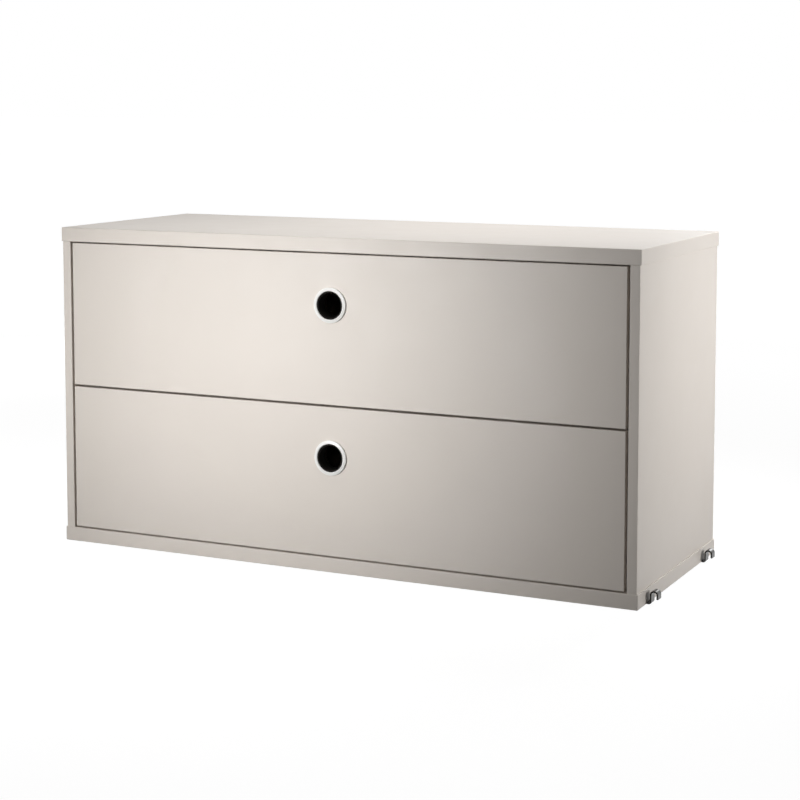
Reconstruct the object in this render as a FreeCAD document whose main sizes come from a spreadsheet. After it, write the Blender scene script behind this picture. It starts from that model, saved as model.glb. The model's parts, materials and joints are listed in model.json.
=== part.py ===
import FreeCAD, Part
import math
import os
import re
import Sketcher

# A wall-hung drawer cabinet: a lacquered carcass, two inset drawers with round finger pulls,
# ball-bearing runners, and bent steel hooks that hang it on horizontal rungs.
# Millimetres. X runs to the right, Y to the back, Z up. The origin is at the middle of the underside.

doc = FreeCAD.newDocument("drawer_cabinet")
sizes = doc.addObject("Spreadsheet::Sheet", "sizes")

drivingSizes = (
    # carcass
    ("width", 780.0, "over the ends of the top and bottom panels"),
    ("depth", 300.0, "over the edges of the top and bottom panels"),
    ("height", 408.0, "underside to top face"),
    ("panelThick", 18.0, "top and bottom panels"),
    ("sideThick", 12.0, "side panels"),
    ("endOverhang", 1.5, "top and bottom past the side panels"),
    ("edgeOverhang", 0.5, "top and bottom past the front and back edges of the sides"),
    ("panelRound", 0.9, "edges of the top and bottom panels"),
    ("sideRound", 1.1, "upright edges of the side panels"),
    ("backThick", 8.0, "back panel"),
    ("backInset", 10.0, "back panel in from the back edges of the sides"),
    ("backGroove", 5.0, "back panel into the boards round it"),
    ("grooveFit", 0.2, "room on each face of a board in its groove"),
    # dowels
    ("dowelDia", 6.0, "beech dowels"),
    ("dowelLong", 30.0, "beech dowels"),
    ("dowelChamfer", 0.8, "ends of a dowel"),
    ("dowelFit", 0.05, "room round a dowel"),
    ("dowelRoom", 1.0, "room past each end of a dowel"),
    ("dowelWeb", 6.0, "panel or drawer front left past the end of a dowel"),
    ("dowelFirst", 30.0, "first carcass dowel behind the front edge of the side"),
    ("dowelLast", 35.0, "last carcass dowel before the back panel"),
    ("dowelCount", 4, "carcass dowels in each joint"),
    # hanging hooks
    ("hookWide", 11.5, "steel strip of a hook"),
    ("hookSheet", 2.0, "steel strip of a hook"),
    ("hookFoot", 46.0, "foot of a hook, in from the panel end"),
    ("hookReach", 5.5, "panel end to the outer face of the leg"),
    ("hookBend", 3.0, "outer radius of the bend under the leg"),
    ("hookMouth", 6.0, "width inside the arch"),
    ("hookTop", 16.0, "top of the arch above the underside"),
    ("hookTip", 6.0, "end of the outer leg above the underside"),
    ("hookFit", 0.15, "room round the foot in its recess"),
    ("hookFromFront", 38.0, "front hooks, middle behind the front edge"),
    ("hookFromBack", 49.0, "rear hooks, middle before the back edge"),
    ("hookScrewFirst", 13.0, "first screw in from the panel end"),
    ("hookScrewLast", 11.0, "last screw before the end of the foot"),
    # screws
    ("screwDia", 3.5, "shank"),
    ("screwTip", 2.5, "pointed end"),
    ("flatHeadDia", 7.0, "countersunk head of a hook screw"),
    ("hookScrewWeb", 4.0, "bottom panel left past the tip of a hook screw"),
    ("railHeadDia", 5.6, "flat head of a screw in a cabinet rail"),
    ("railScrewWeb", 2.7, "side panel left past the tip of a cabinet rail screw"),
    ("panHeadDia", 7.0, "round head of a screw in a drawer rail"),
    ("panHeadHigh", 2.0, "round head of a screw in a drawer rail"),
    ("panScrewWeb", 3.2, "drawer side left past the tip of a drawer rail screw"),
    ("driveLong", 3.0, "cross recess in a head"),
    ("driveWide", 0.7, "cross recess in a head"),
    ("driveDeep", 0.9, "cross recess in a head"),
    ("screwFit", 0.05, "room round a shank or under a sunk head"),
    ("screwPass", 0.3, "room round a shank in sheet steel"),
    ("screwRoom", 1.0, "pilot hole past the tip of a screw"),
    # drawers
    ("frontThick", 16.0, "drawer front"),
    ("sideGap", 3.0, "gap left and right of the drawer fronts"),
    ("topGap", 1.6, "gap above the upper drawer front"),
    ("middleGap", 2.6, "gap between the two drawer fronts"),
    ("bottomGap", 2.0, "gap below the lower drawer front"),
    ("frontRound", 0.7, "edges of a drawer front"),
    ("drawerSideThick", 12.0, "side of a drawer box"),
    ("drawerBackThick", 12.0, "back of a drawer box"),
    ("drawerShort", 0.5, "back of a drawer box before the back ends of its rails"),
    ("drawerLift", 14.0, "drawer box above the lower edge of its front"),
    ("drawerDrop", 18.9, "drawer box below the top edge of its front"),
    ("drawerRound", 1.5, "top edges of a drawer box"),
    ("bottomThick", 6.0, "bottom of a drawer"),
    ("bottomGroove", 6.0, "bottom of a drawer into the boards round it"),
    ("bottomUp", 10.0, "bottom of a drawer above the edge of the box"),
    ("boxDowelFirst", 30.0, "first and last dowel from the edges of the box"),
    ("boxDowelCount", 3, "dowels in each corner of a drawer box"),
    ("dowelSideWeb", 4.0, "drawer side left past the end of a dowel"),
    # finger pulls
    ("fingerDown", 61.9, "middle of the pull below the top edge of its front"),
    ("ringBore", 34.4, "white ring, inside"),
    ("ringWall", 4.3, "white ring from its bore to its outer edge"),
    ("ringProud", 2.8, "white ring in front of the drawer front"),
    ("ringFall", 0.6, "face of the white ring, from its inner to its outer edge"),
    ("ringInnerRound", 0.9, "inner edge of the white ring"),
    ("ringOuterRound", 0.6, "outer edge of the white ring"),
    ("sleeveStep", 2.0, "hole in the drawer front past the bore of the ring"),
    ("sleeveWall", 1.6, "black sleeve where it lines the ring"),
    ("sleeveSunk", 0.8, "front of the sleeve behind the face of the ring"),
    ("flangeReach", 3.3, "flange of the sleeve past the hole in the drawer front"),
    ("flangeThick", 1.5, "flange of the sleeve behind the drawer front"),
    ("pullFit", 0.1, "room round the sleeve"),
    # runners
    ("runnerSpace", 12.7, "side panel to drawer side"),
    ("runnerRoom", 8.5, "stop of a cabinet rail to the back panel"),
    ("runnerHigh", 45.0, "cabinet rail"),
    ("runnerSetback", 0.5, "rails behind the back face of the drawer front"),
    ("runnerLift", 50.0, "middle of a runner above the edge of the drawer box"),
    ("railSheet", 1.2, "webs of the rails"),
    ("railCorner", 1.6, "outer corners of the rails"),
    ("ballDia", 3.6, "steel balls"),
    ("raceFit", 0.05, "room between a ball and its race"),
    ("raceWall", 1.0, "steel behind a race"),
    ("raceShoulder", 0.45, "edge of a race from the middle of its balls"),
    ("innerRowIn", 3.5, "inner balls from the web of the drawer rail"),
    ("rowShift", 3.0, "outer balls nearer the side panel than the inner balls"),
    ("rowDrop", 5.2, "inner balls nearer the middle height than the outer balls"),
    ("cabinetLip", 4.2, "cabinet rail past its balls"),
    ("middleLip", 2.6, "middle rail past the inner balls"),
    ("cageSheet", 0.5, "ball cages"),
    ("cageFit", 0.2, "room beside a cage"),
    ("cageLip", 2.7, "cage past its balls"),
    ("cageEnd", 10.0, "end of a cage past its last ball"),
    ("ballPitch", 18.0, "between balls along a row"),
    ("ballCount", 6, "balls in a row"),
    ("railScrewFirst", 35.0, "first and last screw from the ends of a rail"),
    ("railScrewCount", 3, "screws in a rail"),
    ("earLong", 6.0, "stop at the back end of a cabinet rail"),
    ("earHigh", 16.0, "stop at the back end of a cabinet rail"),
    ("earShort", 2.2, "stop at the back end of a cabinet rail before the drawer side"),
    ("bumperHigh", 10.0, "rubber bumper on the stop"),
    ("bumperSide", 2.5, "rubber bumper from the side panel"),
    ("bumperRound", 1.0, "edges of the rubber bumper"),
    ("bumperGap", 0.3, "closed rails to the rubber bumper"),
)
for row, (name, value, meaning) in enumerate(drivingSizes, start=1):
    sizes.set(f"A{row}", name)
    sizes.set(f"B{row}", str(value))
    sizes.set(f"C{row}", meaning)
    sizes.setAlias(f"B{row}", name)
doc.recompute()
sizeNames = {name for name, value, meaning in drivingSizes}

# what follows from the driving sizes
derivedSizes = {
    # carcass
    "innerWide": "width - 2 * endOverhang - 2 * sideThick",
    "sideDeep": "depth - 2 * edgeOverhang",
    "sideHigh": "height - 2 * panelThick",
    "backStart": "sideDeep - backInset - backThick",
    "dowelInPanel": "panelThick - dowelWeb",
    "dowelPitch": "(backStart - dowelFirst - dowelLast) / (dowelCount - 1)",
    # drawers; the faces of the fronts are flush with the front edges of the side panels
    "frontPlane": "edgeOverhang - depth / 2",
    "frontWide": "innerWide - 2 * sideGap",
    "frontHigh": "(sideHigh - topGap - middleGap - bottomGap) / 2",
    "boxPlane": "frontPlane + frontThick",
    "boxWide": "innerWide - 2 * runnerSpace",
    "boxInner": "boxWide - 2 * drawerSideThick",
    "drawerDeep": "runnerSetback + runnerLong - drawerShort",
    "drawerHigh": "frontHigh - drawerLift - drawerDrop",
    "dowelInFront": "frontThick - dowelWeb",
    "dowelInSide": "drawerSideThick - dowelSideWeb",
    "boxDowelPitch": "(drawerHigh - 2 * boxDowelFirst) / (boxDowelCount - 1)",
    "lowerFront": "panelThick + bottomGap",
    "upperFront": "lowerFront + frontHigh + middleGap",
    # finger pulls
    "ringDia": "ringBore + 2 * ringWall",
    "frontBore": "ringBore + 2 * sleeveStep",
    "sleeveFlange": "frontBore + 2 * flangeReach",
    # runners; the rows of balls lie above and below the middle of a runner
    "railPlane": "boxPlane + runnerSetback",
    "runnerLong": "backStart - frontThick - runnerSetback - earLong - runnerRoom",
    "railScrewPitch": "(runnerLong - 2 * railScrewFirst) / (railScrewCount - 1)",
    "railScrewLong": "railSheet + sideThick - railScrewWeb",
    "panScrewLong": "railSheet + drawerSideThick - panScrewWeb",
    "raceDia": "ballDia + 2 * raceFit",
    "outerRise": "runnerHigh / 2 - raceWall - raceDia / 2",
    "innerRise": "outerRise - rowDrop",
    "innerRow": "runnerSpace - railSheet - innerRowIn",
    "outerRow": "innerRow - rowShift",
    "cageLong": "(ballCount - 1) * ballPitch + 2 * cageEnd",
    "earReach": "runnerSpace - earShort",
    "cageGap": "cageSheet + 2 * cageFit",
    "middleStart": "railSheet + cageGap",
    "drawerRailStart": "middleStart + railSheet + cageGap",
    # hooks
    "hookArch": "hookMouth / 2 + hookSheet",
    "hookMiddle": "hookReach + hookMouth / 2",
    "hookSpring": "hookTop - hookArch",
    "hookScrewPitch": "hookFoot - hookScrewFirst - hookScrewLast",
    "hookScrewLong": "panelThick - hookScrewWeb",
}


def tied(text):
    """The text as an expression on the cells of the sheet."""
    def swap(match):
        word = match.group()
        if word in derivedSizes:
            return "(" + tied(derivedSizes[word]) + ")"
        return "sizes." + word if word in sizeNames else word
    return re.sub(r"[A-Za-z]\w*", swap, str(text))


def number(text):
    """The value that the text has now, in millimetres."""
    return float(sizes.evalExpression(tied(text)))


def count(name):
    return int(round(number(name)))


def point(x, y):
    return FreeCAD.Vector(number(x), number(y), 0)


# Bodies and sketches

def newBody(label, x="0", y="0", z="0", turnAxis=None):
    body = doc.addObject("PartDesign::Body", label)
    body.Label = label
    if turnAxis:
        halfTurn = FreeCAD.Rotation(FreeCAD.Vector(*turnAxis), 180)
        body.Placement = FreeCAD.Placement(FreeCAD.Vector(), halfTurn)
    for axis, text in (("x", x), ("y", y), ("z", z)):
        body.setExpression(f".Placement.Base.{axis}", tied(text))
    return body


def newSketch(body, plane, lift="0", right="0", up="0"):
    """A sketch on one of the body's planes: XY, XZ or YZ, whose normals are +Z, -Y and +X.

    It is lifted along the normal, and its own origin is moved right and up in the plane.
    """
    sketch = body.newObject("Sketcher::SketchObject", body.Label + "_sketch")
    support = next(f for f in body.Origin.OriginFeatures if f.Role == plane + "_Plane")
    sketch.AttachmentSupport = [(support, "")]
    sketch.MapMode = "FlatFace"
    for axis, text in (("x", right), ("y", up), ("z", lift)):
        sketch.setExpression(f"AttachmentOffset.Base.{axis}", tied(text))
    return sketch


def bind(sketch, kind, places, text):
    index = sketch.addConstraint(Sketcher.Constraint(kind, *places, number(text)))
    sketch.setExpression(f"Constraints[{index}]", tied(text))


def drawOutline(sketch, corners, arcs=None):
    """A closed outline. arcs gives, by the corner it starts at, an arc's centre, radius and sense."""
    arcs = arcs or {}
    points = [point(x, y) for x, y in corners]
    first = sketch.GeometryCount
    ends = []
    for index, start in enumerate(points):
        finish = points[(index + 1) % len(points)]
        if index in arcs:
            centreX, centreY, radius, sense = arcs[index]
            centre = point(centreX, centreY)
            circle = Part.Circle(centre, FreeCAD.Vector(0, 0, 1), number(radius))
            spoke = (start - centre, finish - centre)[::sense]
            angles = [math.atan2(leg.y, leg.x) for leg in spoke]
            sketch.addGeometry(Part.ArcOfCircle(circle, angles[0], angles[1]), False)
            ends.append((1, 2)[::sense])
        else:
            sketch.addGeometry(Part.LineSegment(start, finish), False)
            ends.append((1, 2))
    for index, (x, y) in enumerate(corners):
        following = (index + 1) % len(corners)
        meeting = (first + index, ends[index][1], first + following, ends[following][0])
        sketch.addConstraint(Sketcher.Constraint("Coincident", *meeting))
        bind(sketch, "DistanceX", (first + index, ends[index][0]), x)
        bind(sketch, "DistanceY", (first + index, ends[index][0]), y)
        if index in arcs:
            bind(sketch, "Radius", (first + index,), arcs[index][2])


def drawRectangle(sketch, x0, x1, y0, y1):
    drawOutline(sketch, ((x0, y0), (x1, y0), (x1, y1), (x0, y1)))


def drawCircles(sketch, centres, diameter):
    for x, y in centres:
        circle = Part.Circle(point(x, y), FreeCAD.Vector(0, 0, 1), number(diameter) / 2)
        index = sketch.addGeometry(circle, False)
        bind(sketch, "DistanceX", (index, 3), x)
        bind(sketch, "DistanceY", (index, 3), y)
        bind(sketch, "Diameter", (index,), diameter)


def addFeature(body, kind, sketch, **settings):
    feature = body.newObject("PartDesign::" + kind, sketch.Name + "_" + kind)
    feature.Profile = sketch
    for name, setting in settings.items():
        if isinstance(setting, str) and name in ("Length", "TaperAngle"):
            feature.setExpression(name, tied(setting))
        else:
            setattr(feature, name, setting)
    sketch.Visibility = False
    doc.recompute()
    return feature


def pad(body, sketch, length, **settings):
    return addFeature(body, "Pad", sketch, Length=length, **settings)


def pocket(body, sketch, depth=None, **settings):
    """A cut along the sketch's normal, against it unless Reversed; through everything with no depth."""
    before = body.Shape.Volume
    if depth is None:
        feature = addFeature(body, "Pocket", sketch, Type="ThroughAll", **settings)
    else:
        feature = addFeature(body, "Pocket", sketch, Length=depth, **settings)
    if body.Shape.Volume > before - 0.01:
        raise RuntimeError(f"{feature.Name} cuts nothing")
    return feature


def revolve(body, sketch):
    return addFeature(body, "Revolution", sketch, ReferenceAxis=(sketch, ["V_Axis"]), Angle=360)


def groove(body, sketch, axis):
    before = body.Shape.Volume
    feature = addFeature(body, "Groove", sketch, ReferenceAxis=(sketch, [axis]), Angle=360)
    if body.Shape.Volume > before - 0.01:
        raise RuntimeError(f"{feature.Name} cuts nothing")
    return feature


def roundEdges(body, radius, wanted=lambda edge: True):
    base = body.Tip
    names = [f"Edge{n}" for n, edge in enumerate(base.Shape.Edges, start=1) if wanted(edge)]
    fillet = body.newObject("PartDesign::Fillet", body.Label + "_round")
    fillet.Base = (base, names)
    fillet.setExpression("Radius", tied(radius))
    doc.recompute()
    return fillet


def runsAlong(axis):
    """Whether an edge is straight and runs along the axis: 0 for X, 1 for Y, 2 for Z."""
    def test(edge):
        run = edge.Vertexes[-1].Point - edge.Vertexes[0].Point
        return abs(abs(run[axis]) - run.Length) < 1e-6
    return test


def board(label, size, place):
    """A board with its lower front left corner at the place, and its own frame there."""
    body = newBody(label, *place)
    sketch = newSketch(body, "XY")
    drawRectangle(sketch, "0", size[0], "0", size[1])
    pad(body, sketch, size[2])
    return body


def fromOuter(hand, span, distance):
    """A place along X in a piece of that span, measured from its outer face on either hand."""
    return f"({distance})" if hand == "left" else f"({span} - ({distance}))"


def series(first, pitch, name):
    return [f"{first} + {index} * {pitch}" for index in range(count(name))]


# Screws and dowels, which stand in groups of separate solids

def turnedTo(shape, place, direction):
    """A copy of a shape made along +Z, at the place and pointing in the direction."""
    copy = shape.copy()
    turn = FreeCAD.Rotation(FreeCAD.Vector(0, 0, 1), FreeCAD.Vector(*direction))
    copy.Placement = FreeCAD.Placement(place, turn)
    return copy


def crossRecess():
    """The cross cut into a head, upwards from its face at z = 0."""
    long, wide, deep = number("driveLong"), number("driveWide"), number("driveDeep")
    bars = []
    for lengthX, lengthY in ((long, wide), (wide, long)):
        corner = FreeCAD.Vector(-lengthX / 2, -lengthY / 2, 0)
        bars.append(Part.makeBox(lengthX, lengthY, deep, corner))
    return bars[0].fuse(bars[1])


def shankShape(start, length):
    """The shank and its point, along +Z from the start."""
    radius, tip = number("screwDia") / 2, number("screwTip")
    rod = Part.makeCylinder(radius, length - tip, FreeCAD.Vector(0, 0, start))
    end = Part.makeCone(radius, radius / 4, tip, FreeCAD.Vector(0, 0, start + length - tip))
    return rod.fuse(end)


def flatScrewShape(headDia, headHigh, length):
    """A countersunk screw with its face at z = 0 and its point upwards."""
    headRadius, shankRadius = number(headDia) / 2, number("screwDia") / 2
    high = number(headHigh)
    head = Part.makeCone(headRadius, shankRadius, high)
    whole = head.fuse(shankShape(high, number(length) - high))
    return whole.cut(crossRecess()).removeSplitter()


def panScrewShape():
    """A round-headed screw with the underside of its head at z = 0 and its point upwards."""
    radius, high = number("panHeadDia") / 2, number("panHeadHigh")
    head = Part.makeCylinder(radius, high, FreeCAD.Vector(0, 0, -high))
    rim = [e for e in head.Edges if abs(e.BoundBox.ZMax + high) < 1e-6 and e.isClosed()]
    head = head.makeFillet(high * 0.45, rim)
    recess = crossRecess()
    recess.translate(FreeCAD.Vector(0, 0, -high))
    whole = head.fuse(shankShape(0, number("panScrewLong")))
    return whole.cut(recess).removeSplitter()


def dowelShape():
    """A dowel along +Z from z = 0, with chamfered ends."""
    rod = Part.makeCylinder(number("dowelDia") / 2, number("dowelLong"))
    rims = [edge for edge in rod.Edges if edge.isClosed()]
    return rod.makeChamfer(number("dowelChamfer"), rims)


def group(label, shapes):
    feature = doc.addObject("Part::Feature", label)
    feature.Label = label
    feature.Shape = Part.makeCompound(shapes)
    feature.Placement = FreeCAD.Placement()
    return feature


# Carcass

carcassDowels = series("dowelFirst", "dowelPitch", "dowelCount")
drawerNames = ("lower", "upper")
hands = ("left", "right")


def railHeight(name):
    """The middle of a drawer's runners above the underside of the cabinet."""
    return f"({name}Front + drawerLift + runnerLift)"


def panelJoints(body, lift, upwards):
    """The groove for the back panel and the dowel holes in the inner face of the top or the bottom."""
    channel = newSketch(body, "XY", lift)
    grooveEnd = "endOverhang + sideThick - backGroove - grooveFit"
    grooveFront = "edgeOverhang + backStart - grooveFit"
    drawRectangle(channel, grooveEnd, f"width - ({grooveEnd})",
                  grooveFront, f"{grooveFront} + backThick + 2 * grooveFit")
    pocket(body, channel, "backGroove + grooveFit", Reversed=upwards)
    holes = newSketch(body, "XY", lift)
    sideMiddle = "endOverhang + sideThick / 2"
    centres = [(x, f"edgeOverhang + {y}") for y in carcassDowels
               for x in (sideMiddle, f"width - ({sideMiddle})")]
    drawCircles(holes, centres, "dowelDia + 2 * dowelFit")
    pocket(body, holes, "dowelInPanel + dowelRoom", Reversed=upwards)


def topPanel():
    body = board("top_panel", ("width", "depth", "panelThick"),
                 ("-width / 2", "-depth / 2", "height - panelThick"))
    roundEdges(body, "panelRound")
    panelJoints(body, "0", True)
    return body


def bottomPanel():
    body = board("bottom_panel", ("width", "depth", "panelThick"),
                 ("-width / 2", "-depth / 2", "0"))
    roundEdges(body, "panelRound")
    panelJoints(body, "panelThick", False)
    recesses = newSketch(body, "XY")
    pilots = newSketch(body, "XY", "hookSheet")
    pilotCentres = []
    for middle in ("hookFromFront", "depth - hookFromBack"):
        for hand in hands:
            foot = [fromOuter(hand, "width", x) for x in ("-panelThick", "hookFoot + hookFit")]
            reach = "(hookWide / 2 + hookFit)"
            drawRectangle(recesses, foot[0], foot[1], f"{middle} - {reach}", f"{middle} + {reach}")
            for screw in ("hookScrewFirst", "hookScrewFirst + hookScrewPitch"):
                pilotCentres.append((fromOuter(hand, "width", screw), middle))
    pocket(body, recesses, "hookSheet", Reversed=True)
    drawCircles(pilots, pilotCentres, "screwDia + 2 * screwFit")
    pocket(body, pilots, "hookScrewLong - hookSheet + screwRoom", Reversed=True)
    return body


def sidePanel(hand):
    outerFace = fromOuter(hand, "width", "endOverhang + sideThick" if hand == "right" else "endOverhang")
    body = board(f"{hand}_side_panel", ("sideThick", "sideDeep", "sideHigh"),
                 (f"{outerFace} - width / 2", "frontPlane", "panelThick"))
    roundEdges(body, "sideRound", runsAlong(2))
    channel = newSketch(body, "XY", "sideHigh")
    channelSides = [fromOuter(hand, "sideThick", x)
                    for x in ("sideThick - backGroove - grooveFit", "2 * sideThick")]
    drawRectangle(channel, *channelSides, "backStart - grooveFit", "backStart + backThick + grooveFit")
    pocket(body, channel)
    for lift, upwards in (("sideHigh", False), ("0", True)):
        holes = newSketch(body, "XY", lift)
        drawCircles(holes, [("sideThick / 2", y) for y in carcassDowels], "dowelDia + 2 * dowelFit")
        pocket(body, holes, "dowelLong - dowelInPanel + dowelRoom", Reversed=upwards)
    pilots = newSketch(body, "YZ", fromOuter(hand, "sideThick", "sideThick"))
    screwsAlong = series("frontThick + runnerSetback + railScrewFirst", "railScrewPitch", "railScrewCount")
    centres = [(y, f"{railHeight(name)} - panelThick") for name in drawerNames for y in screwsAlong]
    drawCircles(pilots, centres, "screwDia + 2 * screwFit")
    pocket(body, pilots, "railScrewLong - railSheet + screwRoom / 2", Reversed=(hand == "right"))
    return body


def backPanel():
    wide = "innerWide + 2 * backGroove"
    return board("back_panel", (wide, "backThick", "sideHigh + 2 * backGroove"),
                 (f"-({wide}) / 2", "frontPlane + backStart", "panelThick - backGroove"))


def carcassDowelGroup():
    shape = dowelShape()
    placed = []
    for sign in (-1, 1):
        x = sign * number("innerWide / 2 + sideThick / 2")
        for along in carcassDowels:
            y = number(f"frontPlane + {along}")
            low = FreeCAD.Vector(x, y, number("panelThick - dowelInPanel"))
            high = FreeCAD.Vector(x, y, number("height - panelThick + dowelInPanel"))
            placed.append(turnedTo(shape, low, (0, 0, 1)))
            placed.append(turnedTo(shape, high, (0, 0, -1)))
    return group("carcass_dowels", placed)


# Hanging hooks: a foot let into the underside, a leg, an arch and a short outer leg

hookPlaces = {"front": "hookFromFront - depth / 2", "rear": "depth / 2 - hookFromBack"}


def hook(end, hand):
    side = 1 if hand == "right" else -1
    body = newBody(f"{end}_{hand}_hook", f"{side} * width / 2", hookPlaces[end], "0",
                   None if side > 0 else (0, 0, 1))
    profile = newSketch(body, "XZ")
    bendCentre = "hookReach - hookBend"
    archTopInside = "hookSpring + hookMouth / 2"
    corners = (
        ("-hookFoot", "0"),
        (bendCentre, "0"),
        ("hookReach", "hookBend"),
        ("hookReach", "hookSpring"),
        ("hookMiddle", archTopInside),
        ("hookReach + hookMouth", "hookSpring"),
        ("hookReach + hookMouth", "hookTip"),
        ("hookReach + hookMouth + hookSheet", "hookTip"),
        ("hookReach + hookMouth + hookSheet", "hookSpring"),
        ("hookMiddle", "hookTop"),
        ("hookReach - hookSheet", "hookSpring"),
        ("hookReach - hookSheet", "hookBend"),
        (bendCentre, "hookSheet"),
        ("-hookFoot", "hookSheet"),
    )
    inside = ("hookMiddle", "hookSpring", "hookMouth / 2", -1)
    outside = ("hookMiddle", "hookSpring", "hookArch", 1)
    arcs = {
        1: (bendCentre, "hookBend", "hookBend", 1),
        3: inside,
        4: inside,
        8: outside,
        9: outside,
        11: (bendCentre, "hookBend", "hookBend - hookSheet", -1),
    }
    drawOutline(profile, corners, arcs)
    pad(body, profile, "hookWide", Midplane=True)
    screws = [(f"-{place}", "0") for place in ("hookScrewFirst", "(hookScrewFirst + hookScrewPitch)")]
    through = newSketch(body, "XY")
    drawCircles(through, screws, "screwDia + 2 * screwPass")
    pocket(body, through, Reversed=True)
    for x, y in screws:
        sink = newSketch(body, "XZ", y, x)
        rim = "flatHeadDia / 2 + 3 * screwFit"
        drawOutline(sink, (("0", "-screwFit"), (rim, "-screwFit"), ("0", f"{rim} - screwFit")))
        groove(body, sink, "V_Axis")
    return body


def hookScrewGroup():
    shape = flatScrewShape("flatHeadDia", "(flatHeadDia - screwDia) / 2", "hookScrewLong")
    placed = []
    for place in hookPlaces.values():
        for sign in (-1, 1):
            for inwards in ("hookScrewFirst", "hookScrewFirst + hookScrewPitch"):
                x = sign * number(f"width / 2 - ({inwards})")
                placed.append(turnedTo(shape, FreeCAD.Vector(x, number(place), 0), (0, 0, 1)))
    return group("hook_screws", placed)


# Drawers

boxDowels = series("boxDowelFirst", "boxDowelPitch", "boxDowelCount")
railScrews = series("railScrewFirst", "railScrewPitch", "railScrewCount")
bottomChannel = ("bottomUp - grooveFit", "bottomUp + bottomThick + grooveFit")


def drawerFront(name):
    body = board(f"{name}_drawer_front", ("frontWide", "frontThick", "frontHigh"),
                 ("-frontWide / 2", "frontPlane", f"{name}Front"))
    roundEdges(body, "frontRound")
    bore = newSketch(body, "XZ")
    drawCircles(bore, [("frontWide / 2", "frontHigh - fingerDown")], "frontBore")
    pocket(body, bore)
    channel = newSketch(body, "XZ", "-frontThick")
    reach = "(boxInner / 2 + bottomGroove + grooveFit)"
    drawRectangle(channel, f"frontWide / 2 - {reach}", f"frontWide / 2 + {reach}",
                  *[f"drawerLift + {z}" for z in bottomChannel])
    pocket(body, channel, "bottomGroove + grooveFit", Reversed=True)
    holes = newSketch(body, "XZ", "-frontThick")
    sideMiddle = "(boxWide / 2 - drawerSideThick / 2)"
    centres = [(f"frontWide / 2 {sign} {sideMiddle}", f"drawerLift + {z}")
               for z in boxDowels for sign in "-+"]
    drawCircles(holes, centres, "dowelDia + 2 * dowelFit")
    pocket(body, holes, "dowelInFront + dowelRoom", Reversed=True)
    return body


def drawerSide(name, hand):
    outerFace = "-boxWide / 2" if hand == "left" else "boxWide / 2 - drawerSideThick"
    body = board(f"{name}_drawer_{hand}_side", ("drawerSideThick", "drawerDeep", "drawerHigh"),
                 (outerFace, "boxPlane", f"{name}Front + drawerLift"))
    along = runsAlong(1)
    topEdge = number("drawerHigh")
    roundEdges(body, "drawerRound", lambda edge: along(edge) and edge.BoundBox.ZMin > topEdge / 2)
    channel = newSketch(body, "XZ")
    channelSides = [fromOuter(hand, "drawerSideThick", x)
                    for x in ("drawerSideThick - bottomGroove - grooveFit", "2 * drawerSideThick")]
    drawRectangle(channel, *channelSides, *bottomChannel)
    pocket(body, channel)
    frontHoles = newSketch(body, "XZ")
    drawCircles(frontHoles, [("drawerSideThick / 2", z) for z in boxDowels], "dowelDia + 2 * dowelFit")
    pocket(body, frontHoles, "dowelLong - dowelInFront + dowelRoom")
    innerFace = fromOuter(hand, "drawerSideThick", "drawerSideThick")
    backHoles = newSketch(body, "YZ", innerFace)
    drawCircles(backHoles, [("drawerDeep - drawerBackThick / 2", z) for z in boxDowels],
                "dowelDia + 2 * dowelFit")
    pocket(body, backHoles, "dowelInSide + dowelRoom", Reversed=(hand == "right"))
    pilots = newSketch(body, "YZ", fromOuter(hand, "drawerSideThick", "0"))
    drawCircles(pilots, [(f"runnerSetback + {y}", "runnerLift") for y in railScrews],
                "screwDia + 2 * screwFit")
    pocket(body, pilots, "panScrewLong - railSheet + screwRoom", Reversed=(hand == "left"))
    return body


def drawerBack(name):
    body = board(f"{name}_drawer_back", ("boxInner", "drawerBackThick", "drawerHigh"),
                 ("-boxInner / 2", "boxPlane + drawerDeep - drawerBackThick", f"{name}Front + drawerLift"))
    along = runsAlong(0)
    topEdge = number("drawerHigh")
    roundEdges(body, "drawerRound", lambda edge: along(edge) and edge.BoundBox.ZMin > topEdge / 2)
    channel = newSketch(body, "XZ")
    drawRectangle(channel, "-drawerSideThick", "boxInner + drawerSideThick", *bottomChannel)
    pocket(body, channel, "bottomGroove + grooveFit")
    for lift, inwards in (("0", True), ("boxInner", False)):
        holes = newSketch(body, "YZ", lift)
        drawCircles(holes, [("drawerBackThick / 2", z) for z in boxDowels], "dowelDia + 2 * dowelFit")
        pocket(body, holes, "dowelLong - dowelInSide + dowelRoom", Reversed=inwards)
    return body


def drawerBottom(name):
    wide = "boxInner + 2 * bottomGroove"
    deep = "drawerDeep - drawerBackThick + 2 * bottomGroove"
    return board(f"{name}_drawer_bottom", (wide, deep, "bottomThick"),
                 (f"-({wide}) / 2", "boxPlane - bottomGroove", f"{name}Front + drawerLift + bottomUp"))


def drawerDowelGroup(name):
    shape = dowelShape()
    placed = []
    for sign in (-1, 1):
        frontX = sign * number("boxWide / 2 - drawerSideThick / 2")
        backX = sign * number("boxInner / 2 + dowelInSide")
        for up in boxDowels:
            z = number(f"{name}Front + drawerLift + {up}")
            inFront = FreeCAD.Vector(frontX, number("boxPlane - dowelInFront"), z)
            backY = number("boxPlane + drawerDeep - drawerBackThick / 2")
            inSide = FreeCAD.Vector(backX, backY, z)
            placed.append(turnedTo(shape, inFront, (0, 1, 0)))
            placed.append(turnedTo(shape, inSide, (-sign, 0, 0)))
    return group(f"{name}_drawer_dowels", placed)


# Finger pulls, turned about Y; a sketch's second axis is the pull's own axis

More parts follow.
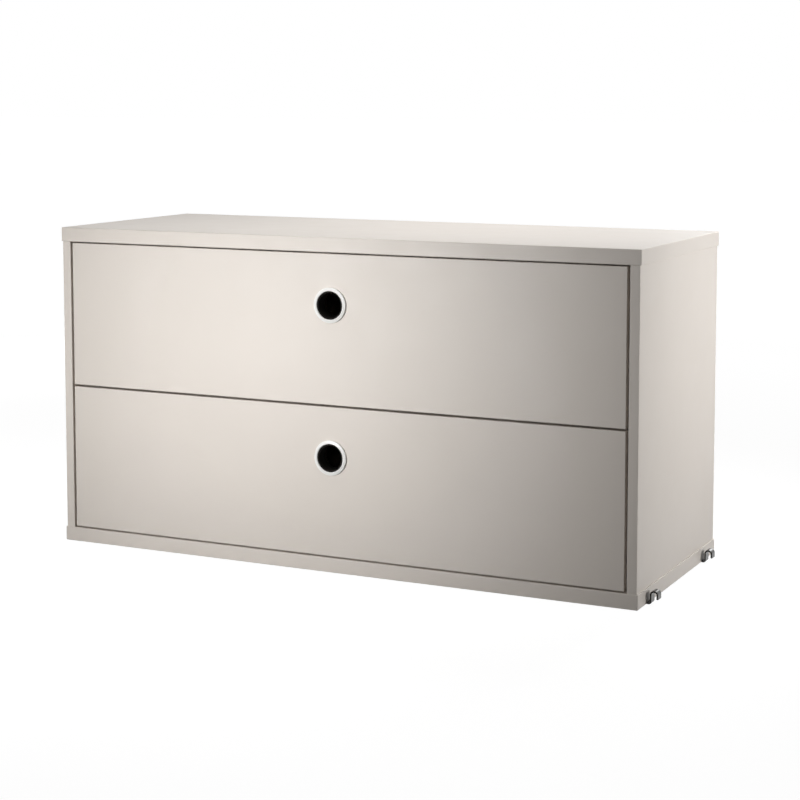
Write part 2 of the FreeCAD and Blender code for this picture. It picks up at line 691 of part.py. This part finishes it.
def fingerRing(name):
    body = newBody(f"{name}_finger_ring", "0", "frontPlane", f"{name}Front + frontHigh - fingerDown")
    profile = newSketch(body, "XY")
    outer, inner = "ringDia / 2", "ringBore / 2"
    innerShoulder = "ringInnerRound - ringProud"
    outerShoulder = "ringOuterRound + ringFall - ringProud"
    corners = (
        (inner, "0"),
        (inner, innerShoulder),
        (f"{inner} + ringInnerRound", "-ringProud"),
        (f"{outer} - ringOuterRound", "ringFall - ringProud"),
        (outer, outerShoulder),
        (outer, "0"),
    )
    arcs = {
        1: (f"{inner} + ringInnerRound", innerShoulder, "ringInnerRound", 1),
        3: (f"{outer} - ringOuterRound", outerShoulder, "ringOuterRound", 1),
    }
    drawOutline(profile, corners, arcs)
    revolve(body, profile)
    return body


def fingerSleeve(name):
    body = newBody(f"{name}_finger_sleeve", "0", "frontPlane", f"{name}Front + frontHigh - fingerDown")
    profile = newSketch(body, "XY")
    nose, barrel, flange = "ringBore / 2 - pullFit", "frontBore / 2 - pullFit", "sleeveFlange / 2"
    inside = f"{nose} - sleeveWall"
    start = "sleeveSunk - ringProud"
    corners = (
        (inside, start),
        (nose, start),
        (nose, "pullFit"),
        (barrel, "pullFit"),
        (barrel, "frontThick"),
        (flange, "frontThick"),
        (flange, "frontThick + flangeThick"),
        (inside, "frontThick + flangeThick"),
    )
    drawOutline(profile, corners)
    revolve(body, profile)
    return body


# Runners. Each rail's own frame has X out from the side panel, Y along the rail from its front
# end and Z up from its middle; on the right-hand side the rail is turned half round about Y.

def railBody(label, name, hand):
    x, turn = ("-innerWide / 2", None) if hand == "left" else ("innerWide / 2", (0, 1, 0))
    return newBody(label, x, "railPlane", railHeight(name), turn)


def channelPad(body, web, wall, lip, rise, deep, length, side="+"):
    """A C along Y: its web from web to wall, its lips out to lip, up to rise and deep thick.

    The side is the way from the web to the lips, and the two corners of the web are rounded.
    """
    bend = f"{web} {side} railCorner"
    corners = (
        (bend, f"-({rise})"),
        (lip, f"-({rise})"),
        (lip, f"-({rise}) + {deep}"),
        (wall, f"-({rise}) + {deep}"),
        (wall, f"{rise} - ({deep})"),
        (lip, f"{rise} - ({deep})"),
        (lip, rise),
        (bend, rise),
        (web, f"{rise} - railCorner"),
        (web, f"railCorner - ({rise})"),
    )
    sense = 1 if side == "+" else -1
    arcs = {
        7: (bend, f"{rise} - railCorner", "railCorner", sense),
        9: (bend, f"railCorner - ({rise})", "railCorner", sense),
    }
    profile = newSketch(body, "XZ")
    drawOutline(profile, corners, arcs)
    return pad(body, profile, length, Reversed=True)


def cutRaces(body, out, rise):
    """A pair of ball races along the whole rail."""
    races = newSketch(body, "XZ")
    drawCircles(races, [(out, rise), (out, f"-({rise})")], "raceDia")
    pocket(body, races)


def cabinetRail(name, hand):
    body = railBody(f"{name}_{hand}_cabinet_rail", name, hand)
    channelPad(body, "0", "railSheet", "outerRow + cabinetLip", "runnerHigh / 2",
               "(runnerHigh / 2 - outerRise - raceShoulder)", "runnerLong")
    cutRaces(body, "outerRow", "outerRise")
    tongue = newSketch(body, "XZ", "-runnerLong")
    drawRectangle(tongue, "0", "railSheet", "-earHigh / 2", "earHigh / 2")
    pad(body, tongue, "earLong", Reversed=True)
    ear = newSketch(body, "XZ", "-(runnerLong + earLong - railSheet)")
    drawRectangle(ear, "0", "earReach", "-earHigh / 2", "earHigh / 2")
    pad(body, ear, "railSheet", Reversed=True)
    holes = newSketch(body, "YZ")
    drawCircles(holes, [(y, "0") for y in railScrews], "screwDia + 2 * screwPass")
    pocket(body, holes, Reversed=True)
    for y in railScrews:
        sink = newSketch(body, "XY", "0", "0", y)
        rim = "railHeadDia / 2 + 4 * screwFit"
        mouth = "railSheet + screwFit"
        drawOutline(sink, ((mouth, "0"), (mouth, rim), (f"{mouth} - ({rim})", "0")))
        groove(body, sink, "H_Axis")
    return body


def middleRail(name, hand):
    body = railBody(f"{name}_{hand}_middle_rail", name, hand)
    channelPad(body, "middleStart", "middleStart + railSheet", "innerRow + middleLip",
               "(outerRise - raceShoulder)", "(rowDrop - 2 * raceShoulder)", "runnerLong")
    cutRaces(body, "outerRow", "outerRise")
    cutRaces(body, "innerRow", "innerRise")
    return body


def drawerRail(name, hand):
    body = railBody(f"{name}_{hand}_drawer_rail", name, hand)
    channelPad(body, "runnerSpace", "runnerSpace - railSheet", "drawerRailStart",
               "(innerRise - raceShoulder)", "(raceDia / 2 + raceWall - raceShoulder)",
               "runnerLong", "-")
    cutRaces(body, "innerRow", "innerRise")
    holes = newSketch(body, "YZ", "runnerSpace")
    drawCircles(holes, [(y, "0") for y in railScrews], "screwDia + 2 * screwPass")
    pocket(body, holes, "2 * railSheet")
    return body


# Ball cages: a thin C with a pocket for every ball

cages = {
    "outer": ("railSheet + cageFit", "outerRow", "outerRise"),
    "inner": ("middleStart + railSheet + cageFit", "innerRow", "innerRise"),
}
cageFront = "(runnerLong - cageLong) / 2"
ballsAlong = series("runnerLong / 2 - (ballCount - 1) / 2 * ballPitch", "ballPitch", "ballCount")


def ballCage(name, hand, level):
    body = railBody(f"{name}_{hand}_{level}_cage", name, hand)
    web, row, rise = cages[level]
    lip, high = f"{row} + ballDia / 2 + cageLip / 2", f"({rise} + cageSheet / 2)"
    corners = (
        (web, f"-{high}"),
        (lip, f"-{high}"),
        (lip, f"cageSheet - {high}"),
        (f"{web} + cageSheet", f"cageSheet - {high}"),
        (f"{web} + cageSheet", f"{high} - cageSheet"),
        (lip, f"{high} - cageSheet"),
        (lip, high),
        (web, high),
    )
    profile = newSketch(body, "XZ", f"-({cageFront})")
    drawOutline(profile, corners)
    pad(body, profile, "cageLong", Reversed=True)
    pockets = newSketch(body, "XY")
    drawCircles(pockets, [(row, y) for y in ballsAlong], "raceDia")
    pocket(body, pockets, Midplane=True)
    return body


def ballGroup(name, level):
    web, row, rise = cages[level]
    ball = Part.makeSphere(number("ballDia") / 2)
    placed = []
    for sign in (-1, 1):
        x = sign * number(f"innerWide / 2 - {row}")
        for upDown in (-1, 1):
            z = number(railHeight(name)) + upDown * number(rise)
            for along in ballsAlong:
                y = number(f"railPlane + {along}")
                placed.append(turnedTo(ball, FreeCAD.Vector(x, y, z), (0, 0, 1)))
    return group(f"{name}_{level}_balls", placed)


def railScrewGroup():
    """The screws that hold the four cabinet rails to the side panels, their heads just below the webs."""
    shape = flatScrewShape("railHeadDia", "(railHeadDia - screwDia) / 2", "railScrewLong")
    placed = []
    for name in drawerNames:
        for sign in (-1, 1):
            x = sign * number("innerWide / 2 - railSheet + screwFit")
            for along in railScrews:
                place = FreeCAD.Vector(x, number(f"railPlane + {along}"), number(railHeight(name)))
                placed.append(turnedTo(shape, place, (sign, 0, 0)))
    return group("cabinet_rail_screws", placed)


def drawerScrewGroup(name):
    shape = panScrewShape()
    placed = []
    for sign in (-1, 1):
        x = sign * number("innerWide / 2 - runnerSpace + railSheet")
        for along in railScrews:
            place = FreeCAD.Vector(x, number(f"railPlane + {along}"), number(railHeight(name)))
            placed.append(turnedTo(shape, place, (-sign, 0, 0)))
    return group(f"{name}_drawer_rail_screws", placed)


def bumperGroup():
    """Rubber bumpers on the stops, just behind the closed rails."""
    side, high = number("bumperSide"), number("bumperHigh")
    wide = number("earReach") - side
    deep = number("earLong - railSheet - bumperGap")
    placed = []
    for name in drawerNames:
        for sign in (-1, 1):
            near = number("innerWide / 2") - side - wide
            x = near if sign > 0 else -near - wide
            corner = FreeCAD.Vector(x, number("railPlane + runnerLong + bumperGap"),
                                    number(railHeight(name)) - high / 2)
            block = Part.makeBox(wide, deep, high, corner)
            rim = [edge for edge in block.Edges if runsAlong(1)(edge)]
            placed.append(block.makeFillet(number("bumperRound"), rim))
    return group("runner_bumpers", placed)


def everyPart():
    parts = [topPanel(), bottomPanel(), backPanel(), carcassDowelGroup()]
    parts += [sidePanel(hand) for hand in hands]
    parts += [hook(end, hand) for end in hookPlaces for hand in hands]
    parts += [hookScrewGroup(), railScrewGroup(), bumperGroup()]
    for name in drawerNames:
        parts += [drawerFront(name), drawerBack(name), drawerBottom(name), drawerDowelGroup(name)]
        parts += [fingerRing(name), fingerSleeve(name), drawerScrewGroup(name)]
        for hand in hands:
            parts += [drawerSide(name, hand), cabinetRail(name, hand)]
            parts += [middleRail(name, hand), drawerRail(name, hand)]
            parts += [ballCage(name, hand, level) for level in cages]
        parts += [ballGroup(name, level) for level in cages]
    return parts


parts = everyPart()
doc.recompute()

for item in doc.Objects:
    if "Invalid" in item.State or "Error" in item.State:
        raise RuntimeError(f"{item.Label} failed: {item.State}")
for part in parts:
    if part.Shape.isNull() or not part.Shape.isValid():
        raise RuntimeError(f"{part.Label} has no valid shape")

os.makedirs("parts", exist_ok=True)
for part in parts:
    part.Shape.exportStep(f"parts/{part.Label}.step")
print(len(parts), "parts written")
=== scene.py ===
import json
import math

import bpy
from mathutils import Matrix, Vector

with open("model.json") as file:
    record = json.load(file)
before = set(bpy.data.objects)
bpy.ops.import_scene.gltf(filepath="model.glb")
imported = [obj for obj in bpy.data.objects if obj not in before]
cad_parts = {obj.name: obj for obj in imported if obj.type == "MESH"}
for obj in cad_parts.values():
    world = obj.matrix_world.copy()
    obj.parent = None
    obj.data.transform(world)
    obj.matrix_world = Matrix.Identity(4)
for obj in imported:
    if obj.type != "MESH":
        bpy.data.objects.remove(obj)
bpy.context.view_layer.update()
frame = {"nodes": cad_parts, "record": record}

nodes = frame["nodes"]
scene = bpy.context.scene
print("loaded", len(nodes), "pieces of the cabinet")


# camera: a long lens from the right and above, shifted a little so that uprights lean less
cameraSet = {
    "place": (1.0566, -2.1397, 0.5846),
    "turn": 25.837,         # degrees to the left
    "tilt": 5.287,          # degrees down
    "lens": 85.075,         # mm
    "sensor": 36.0,         # mm
    "shift": (0.0, -0.17),  # of the picture's width
    "reach": 50.0,          # metres
}

cameraData = bpy.data.cameras.new("camera")
cameraData.sensor_width = cameraSet["sensor"]
cameraData.lens = cameraSet["lens"]
cameraData.shift_x, cameraData.shift_y = cameraSet["shift"]
cameraData.clip_end = cameraSet["reach"]
camera = bpy.data.objects.new("camera", cameraData)
camera.location = cameraSet["place"]
camera.rotation_euler = (
    math.radians(90 - cameraSet["tilt"]), 0, math.radians(cameraSet["turn"]))
scene.collection.objects.link(camera)
scene.camera = camera


# helpers for the nodes of a material

def newFinish(name, roughness, metallic=0.0):
    material = bpy.data.materials.new(name)
    material.use_nodes = True
    shader = material.node_tree.nodes["Principled BSDF"]
    shader.inputs["Roughness"].default_value = roughness
    shader.inputs["Metallic"].default_value = metallic
    return material, shader


def addNode(material, kind, **settings):
    made = material.node_tree.nodes.new(kind)
    for name, value in settings.items():
        setattr(made, name, value)
    return made


def wire(material, source, target):
    material.node_tree.links.new(source, target)


def spot(material, scale=(1, 1, 1)):
    # the piece's own coordinates in metres, which travel with it
    coords = addNode(material, "ShaderNodeTexCoord")
    mapping = addNode(material, "ShaderNodeMapping")
    mapping.inputs["Scale"].default_value = scale
    wire(material, coords.outputs["Object"], mapping.inputs["Vector"])
    return mapping.outputs["Vector"]


def noise(material, vector, scale, detail=3.0, rough=0.5):
    texture = addNode(material, "ShaderNodeTexNoise")
    texture.inputs["Scale"].default_value = scale
    texture.inputs["Detail"].default_value = detail
    texture.inputs["Roughness"].default_value = rough
    wire(material, vector, texture.inputs["Vector"])
    return texture.outputs["Fac"]


def spread(material, value, low, high, fromLow=0.3, fromHigh=0.7):
    ranger = addNode(material, "ShaderNodeMapRange")
    ranger.inputs["From Min"].default_value = fromLow
    ranger.inputs["From Max"].default_value = fromHigh
    ranger.inputs["To Min"].default_value = low
    ranger.inputs["To Max"].default_value = high
    wire(material, value, ranger.inputs["Value"])
    return ranger.outputs["Result"]


def blendColours(material, value, first, second, fromLow=0.3, fromHigh=0.7):
    # each end is a colour, or the output of a node that holds one
    mixer = addNode(material, "ShaderNodeMix", data_type="RGBA")
    ends = [socket for socket in mixer.inputs if socket.type == "RGBA"]
    for end, colour in zip(ends, (first, second)):
        if isinstance(colour, tuple):
            end.default_value = (*colour, 1)
        else:
            wire(material, colour, end)
    wire(material, spread(material, value, 0, 1, fromLow, fromHigh), mixer.inputs["Factor"])
    return next(socket for socket in mixer.outputs if socket.type == "RGBA")


def emboss(material, shader, height, depth, strength=1.0, after=None):
    bump = addNode(material, "ShaderNodeBump")
    bump.inputs["Strength"].default_value = strength
    bump.inputs["Distance"].default_value = depth
    wire(material, height, bump.inputs["Height"])
    if after:
        wire(material, after, bump.inputs["Normal"])
    wire(material, bump.outputs["Normal"], shader.inputs["Normal"])
    return bump.outputs["Normal"]


# two close tones in soft clouds, and smaller patches a little more or less glossy
cloudPattern = {
    "cloudDetail": 4.0,
    "patchesPerCloud": 6,
    "patchDetail": 5.0,
}


def tintAndRoughness(material, shader, coat, where):
    clouds = noise(material, where, coat["clouds"], cloudPattern["cloudDetail"])
    tone = blendColours(material, clouds, coat["dark"], coat["light"])
    wire(material, tone, shader.inputs["Base Color"])
    patchScale = coat["clouds"] * cloudPattern["patchesPerCloud"]
    patches = noise(material, where, patchScale, cloudPattern["patchDetail"])
    wire(material, spread(material, patches, *coat["roughness"]), shader.inputs["Roughness"])


# satin lacquer of the carcass and the fronts, with the fine skin of a sprayed coat
lacquer = {
    "light": (0.761, 0.700, 0.638),
    "dark": (0.738, 0.678, 0.617),
    "roughness": (0.40, 0.47),
    "clouds": 7.0,          # per metre
    "shine": 0.38,
    "skin": 420.0,          # bumps per metre
    "skinDepth": 0.000012,  # metres
}

# the boards of the drawer boxes, lacquered a little flatter
boxLacquer = {
    "light": (0.744, 0.686, 0.626),
    "dark": (0.713, 0.656, 0.598),
    "roughness": (0.50, 0.60),
    "clouds": 11.0,
    "shine": 0.38,
    "skin": 300.0,
    "skinDepth": 0.00002,
}


def lacquerFinish(name, coat):
    material, shader = newFinish(name, coat["roughness"][0])
    where = spot(material)
    tintAndRoughness(material, shader, coat, where)
    shader.inputs["Specular IOR Level"].default_value = coat["shine"]
    skin = noise(material, where, coat["skin"], 2.0)
    emboss(material, shader, skin, coat["skinDepth"])
    return material


# laminate of the drawer bottoms, with a fine linen press
laminate = {
    "light": (0.72, 0.675, 0.625),
    "dark": (0.68, 0.636, 0.586),
    "roughness": (0.55, 0.68),
    "clouds": 15.0,
    "threads": 45.0,
    "threadWaver": 0.6,
    "threadDetail": 1.0,
    "threadDepth": 0.00003,
    "threadStrength": 0.5,
}


def laminateFinish(name, sheet):
    material, shader = newFinish(name, sheet["roughness"][0])
    where = spot(material)
    tintAndRoughness(material, shader, sheet, where)
    press = None
    for direction in ("X", "Y"):
        lines = addNode(material, "ShaderNodeTexWave", bands_direction=direction)
        lines.inputs["Scale"].default_value = sheet["threads"]
        lines.inputs["Distortion"].default_value = sheet["threadWaver"]
        lines.inputs["Detail"].default_value = sheet["threadDetail"]
        wire(material, where, lines.inputs["Vector"])
        press = emboss(
            material, shader, lines.outputs["Fac"],
            sheet["threadDepth"], sheet["threadStrength"], press)
    return material


# beech of the dowels
beech = {
    "light": (0.70, 0.49, 0.29),
    "dark": (0.56, 0.35, 0.18),
    "fleckScale": (900, 900, 90),  # long along the dowel's upright grain
    "fleckDetail": 5.0,
    "fleckRough": 0.6,
    "fleckDepth": 0.00005,
    "roughness": (0.55, 0.7),
}


def beechFinish(name, wood):
    material, shader = newFinish(name, wood["roughness"][0])
    where = spot(material, wood["fleckScale"])
    flecks = noise(material, where, 1.0, wood["fleckDetail"], wood["fleckRough"])
    tone = blendColours(material, flecks, wood["dark"], wood["light"])
    wire(material, tone, shader.inputs["Base Color"])
    wire(material, spread(material, flecks, *wood["roughness"]), shader.inputs["Roughness"])
    emboss(material, shader, flecks, wood["fleckDepth"])
    return material


# moulded plastics: the glossy white ring and the matt black sleeve
ringPlastic = {
    "light": (0.905, 0.895, 0.87),
    "dark": (0.875, 0.865, 0.84),
    "roughness": (0.28, 0.38),
    "clouds": 60.0,
    "grain": 900.0,
    "grainDepth": 0.000004,
    "shine": 0.4,
}
sleevePlastic = {
    "light": (0.015, 0.013, 0.011),
    "dark": (0.011, 0.0095, 0.0082),
    "roughness": (0.70, 0.85),
    "shine": 0.12,
    "clouds": 90.0,
    "grain": 1600.0,
    "grainDepth": 0.00003,
}


def mouldedFinish(name, plastic):
    material, shader = newFinish(name, plastic["roughness"][0])
    where = spot(material)
    tintAndRoughness(material, shader, plastic, where)
    shader.inputs["Specular IOR Level"].default_value = plastic["shine"]
    grain = noise(material, where, plastic["grain"], 3.0)
    emboss(material, shader, grain, plastic["grainDepth"])
    return material


# metals: tone, polish, and fine lines that run along one axis of the cabinet
hookSteel = {
    "light": (0.095, 0.095, 0.093),
    "dark": (0.055, 0.055, 0.054),
    # painted shade: the darker colour given to the strip's edges that face along Y, standing in
    # for their dark reflections
    "cut": (0.022, 0.021, 0.020),
    "cutFacing": (0.35, 0.75),  # how far a face has to turn to Y to get the painted shade of the narrow edges
    "roughness": (0.12, 0.24),
    "lines": (120, 2600, 120),
    "lineDepth": 0.000006,
}
railSteel = {
    "light": (0.57, 0.58, 0.59),
    "dark": (0.44, 0.45, 0.46),
    "roughness": (0.26, 0.42),
    "lines": (1500, 25, 1500),
    "lineDepth": 0.000008,
}
cageSteel = {
    "light": (0.58, 0.58, 0.57),
    "dark": (0.44, 0.44, 0.44),
    "roughness": (0.30, 0.46),
    "lines": (1800, 40, 1800),
    "lineDepth": 0.000008,
}
ballSteel = {
    "light": (0.80, 0.80, 0.81),
    "dark": (0.70, 0.70, 0.71),
    "roughness": (0.06, 0.12),
    "lines": (900, 900, 900),
    "lineDepth": 0.000002,
}
screwZinc = {
    "light": (0.70, 0.70, 0.69),
    "dark": (0.52, 0.52, 0.51),
    "roughness": (0.18, 0.34),
    "lines": (1200, 1200, 1200),
    "lineDepth": 0.00001,
}


platingPattern = {
    "stains": 45.0,         # clouds of tone per metre
    "stainDetail": 5.0,
    "lineDetail": 3.0,
    "lineRough": 0.55,
}


def steelFinish(name, steel):
    material, shader = newFinish(name, steel["roughness"][0], 1.0)
    lines = noise(
        material, spot(material, steel["lines"]), 1.0,
        platingPattern["lineDetail"], platingPattern["lineRough"])
    stains = noise(
        material, spot(material), platingPattern["stains"], platingPattern["stainDetail"])
    tone = blendColours(material, stains, steel["dark"], steel["light"])
    if "cut" in steel:
        # painted shade: faces that turn along Y, the narrow edges of the strip, are coloured
        # darker to stand in for the dark reflections they show
        coords = addNode(material, "ShaderNodeTexCoord")
        facing = addNode(material, "ShaderNodeSeparateXYZ")
        wire(material, coords.outputs["Normal"], facing.inputs[0])
        paintedShadeMask = addNode(material, "ShaderNodeMath", operation="ABSOLUTE")
        wire(material, facing.outputs["Y"], paintedShadeMask.inputs[0])
        tone = blendColours(
            material, paintedShadeMask.outputs[0], tone, steel["cut"], *steel["cutFacing"])
    wire(material, tone, shader.inputs["Base Color"])
    wire(material, spread(material, lines, *steel["roughness"]), shader.inputs["Roughness"])
    emboss(material, shader, lines, steel["lineDepth"])
    return material


# rubber of the bumpers
bumperRubber = {
    "light": (0.040, 0.040, 0.040),
    "dark": (0.022, 0.022, 0.022),
    "roughness": (0.65, 0.85),
    "clouds": 120.0,
    "grain": 1400.0,
    "grainDepth": 0.00005,
    "shine": 0.35,
}

finishes = {
    "lacquer": lacquerFinish("satin_lacquer", lacquer),
    "drawer_board": lacquerFinish("box_lacquer", boxLacquer),
    "drawer_bottom": laminateFinish("pressed_laminate", laminate),
    "beech": beechFinish("beech", beech),
    "ring_plastic": mouldedFinish("white_plastic", ringPlastic),
    "sleeve_plastic": mouldedFinish("black_plastic", sleevePlastic),
    "hook_steel": steelFinish("plated_strip", hookSteel),
    "rail_steel": steelFinish("zinc_rail", railSteel),
    "cage_steel": steelFinish("zinc_cage", cageSteel),
    "ball_steel": steelFinish("polished_ball", ballSteel),
    "screw_steel": steelFinish("zinc_screw", screwZinc),
    "bumper_rubber": mouldedFinish("bumper_rubber", bumperRubber),
}

for part in frame["record"]["subparts"]:
    for holder in nodes[part["node"]].material_slots:
        holder.material = finishes[part["material_slot"]]
print("finishes made for", len(finishes), "slots")


# stage: white floor and surroundings for the camera, plain soft light on the object
stageSet = {
    "floorSize": 60.0,      # metres
    "floorDrop": 0.0005,    # metres under the cabinet
    "floorColour": 0.15,
    "nearGlow": 0.95,       # white that the camera sees on the floor near the cabinet
    "fade": (0.9, 2.4),     # metres from the middle, over which the floor turns white
    "surroundings": 0.04,   # light of the room on the object
}


def seenByCamera(tree):
    # 1 for what the camera and mirror-like surfaces see, 0 for the light that falls on things
    path = tree.nodes.new("ShaderNodeLightPath")
    most = path.outputs["Is Camera Ray"]
    for ray in ("Is Glossy Ray", "Is Transmission Ray"):
        either = tree.nodes.new("ShaderNodeMath")
        either.operation = "MAXIMUM"
        tree.links.new(most, either.inputs[0])
        tree.links.new(path.outputs[ray], either.inputs[1])
        most = either.outputs[0]
    return most


world = bpy.data.worlds.new("surroundings")
scene.world = world
world.use_nodes = True
background = world.node_tree.nodes["Background"]
background.inputs["Color"].default_value = (1, 1, 1, 1)
roomLight = world.node_tree.nodes.new("ShaderNodeMapRange")
roomLight.inputs["To Min"].default_value = stageSet["surroundings"]
roomLight.inputs["To Max"].default_value = 1.0
world.node_tree.links.new(seenByCamera(world.node_tree), roomLight.inputs["Value"])
world.node_tree.links.new(roomLight.outputs["Result"], background.inputs["Strength"])

half = stageSet["floorSize"] / 2
floorCorners = [(-half, -half, 0), (half, -half, 0), (half, half, 0), (-half, half, 0)]
floorMesh = bpy.data.meshes.new("floor")
floorMesh.from_pydata(floorCorners, [], [(0, 1, 2, 3)])
floor = bpy.data.objects.new("floor", floorMesh)
floor.location = (0, 0, -stageSet["floorDrop"])
scene.collection.objects.link(floor)
floorFinish, floorShader = newFinish("floor", 1.0)
floorShader.inputs["Base Color"].default_value = (*[stageSet["floorColour"]] * 3, 1)
floorShader.inputs["Specular IOR Level"].default_value = 0.0
distance = addNode(floorFinish, "ShaderNodeVectorMath", operation="LENGTH")
wire(floorFinish, spot(floorFinish), distance.inputs[0])
glow = spread(
    floorFinish, distance.outputs["Value"], stageSet["nearGlow"], 1.0, *stageSet["fade"])
onlySeen = addNode(floorFinish, "ShaderNodeMath", operation="MULTIPLY")
wire(floorFinish, glow, onlySeen.inputs[0])
wire(floorFinish, seenByCamera(floorFinish.node_tree), onlySeen.inputs[1])
floorShader.inputs["Emission Color"].default_value = (1, 1, 1, 1)
wire(floorFinish, onlySeen.outputs[0], floorShader.inputs["Emission Strength"])
floorMesh.materials.append(floorFinish)

# soft boxes: three low in front to the left, whose light fades along the fronts, two above,
# and one or two for each other side; places and sizes in metres, power in watts, spread in degrees
lamps = {
    "keyNear": {
        "place": (-0.6, -1.5, 0.35), "aim": (-0.12, -0.15, 0.26),
        "size": 0.5, "power": 0.74, "spread": 40,
    },
    "keyWide": {
        "place": (-0.6, -1.5, 0.35), "aim": (-0.20, -0.15, 0.25),
        "size": 0.5, "power": 0.90, "spread": 60,
    },
    "keyMiddle": {
        "place": (-0.3, -1.5, 0.35), "aim": (0.11, -0.15, 0.35),
        "size": 0.4, "power": 0.07, "spread": 32,
    },
    "rightEnd": {
        "place": (1.6, 0.35, 0.45), "aim": (0.4, 0.1, 0.32),
        "size": 0.5, "power": 1.42, "spread": 50,
    },
    "aboveBack": {
        "place": (0.2, 0.9, 1.5), "aim": (0.1, 0.05, 0.4),
        "size": 0.6, "power": 1.72, "spread": 60,
    },
    "aboveFront": {
        "place": (0.0, -0.6, 1.9), "aim": (0.0, -0.05, 0.4),
        "size": 0.6, "power": 0.62, "spread": 50,
    },
    "leftBack": {
        "place": (-1.8, 1.3, 0.2), "aim": (-0.2, 0.1, 0.2),
        "size": 0.4, "power": 6.2, "spread": 180,
    },
    "leftEnd": {
        "place": (-1.6, 0.3, 0.7), "aim": (-0.4, 0.0, 0.2),
        "size": 0.6, "power": 1.2, "spread": 60,
    },
    "back": {
        "place": (0.2, 2.1, 0.6), "aim": (0.0, 0.15, 0.2),
        "size": 1.0, "power": 1.4, "spread": 60,
    },
}
for name, lamp in lamps.items():
    lampData = bpy.data.lights.new(name, "AREA")
    lampData.shape = "SQUARE"
    lampData.size = lamp["size"]
    lampData.energy = lamp["power"]
    lampData.spread = math.radians(lamp["spread"])
    light = bpy.data.objects.new(name, lampData)
    light.location = lamp["place"]
    facing = Vector(lamp["aim"]) - Vector(lamp["place"])
    light.rotation_euler = facing.to_track_quat("-Z", "Y").to_euler()
    scene.collection.objects.link(light)
print("stage set with", len(lamps), "lamps")

scene.view_settings.view_transform = "Standard"
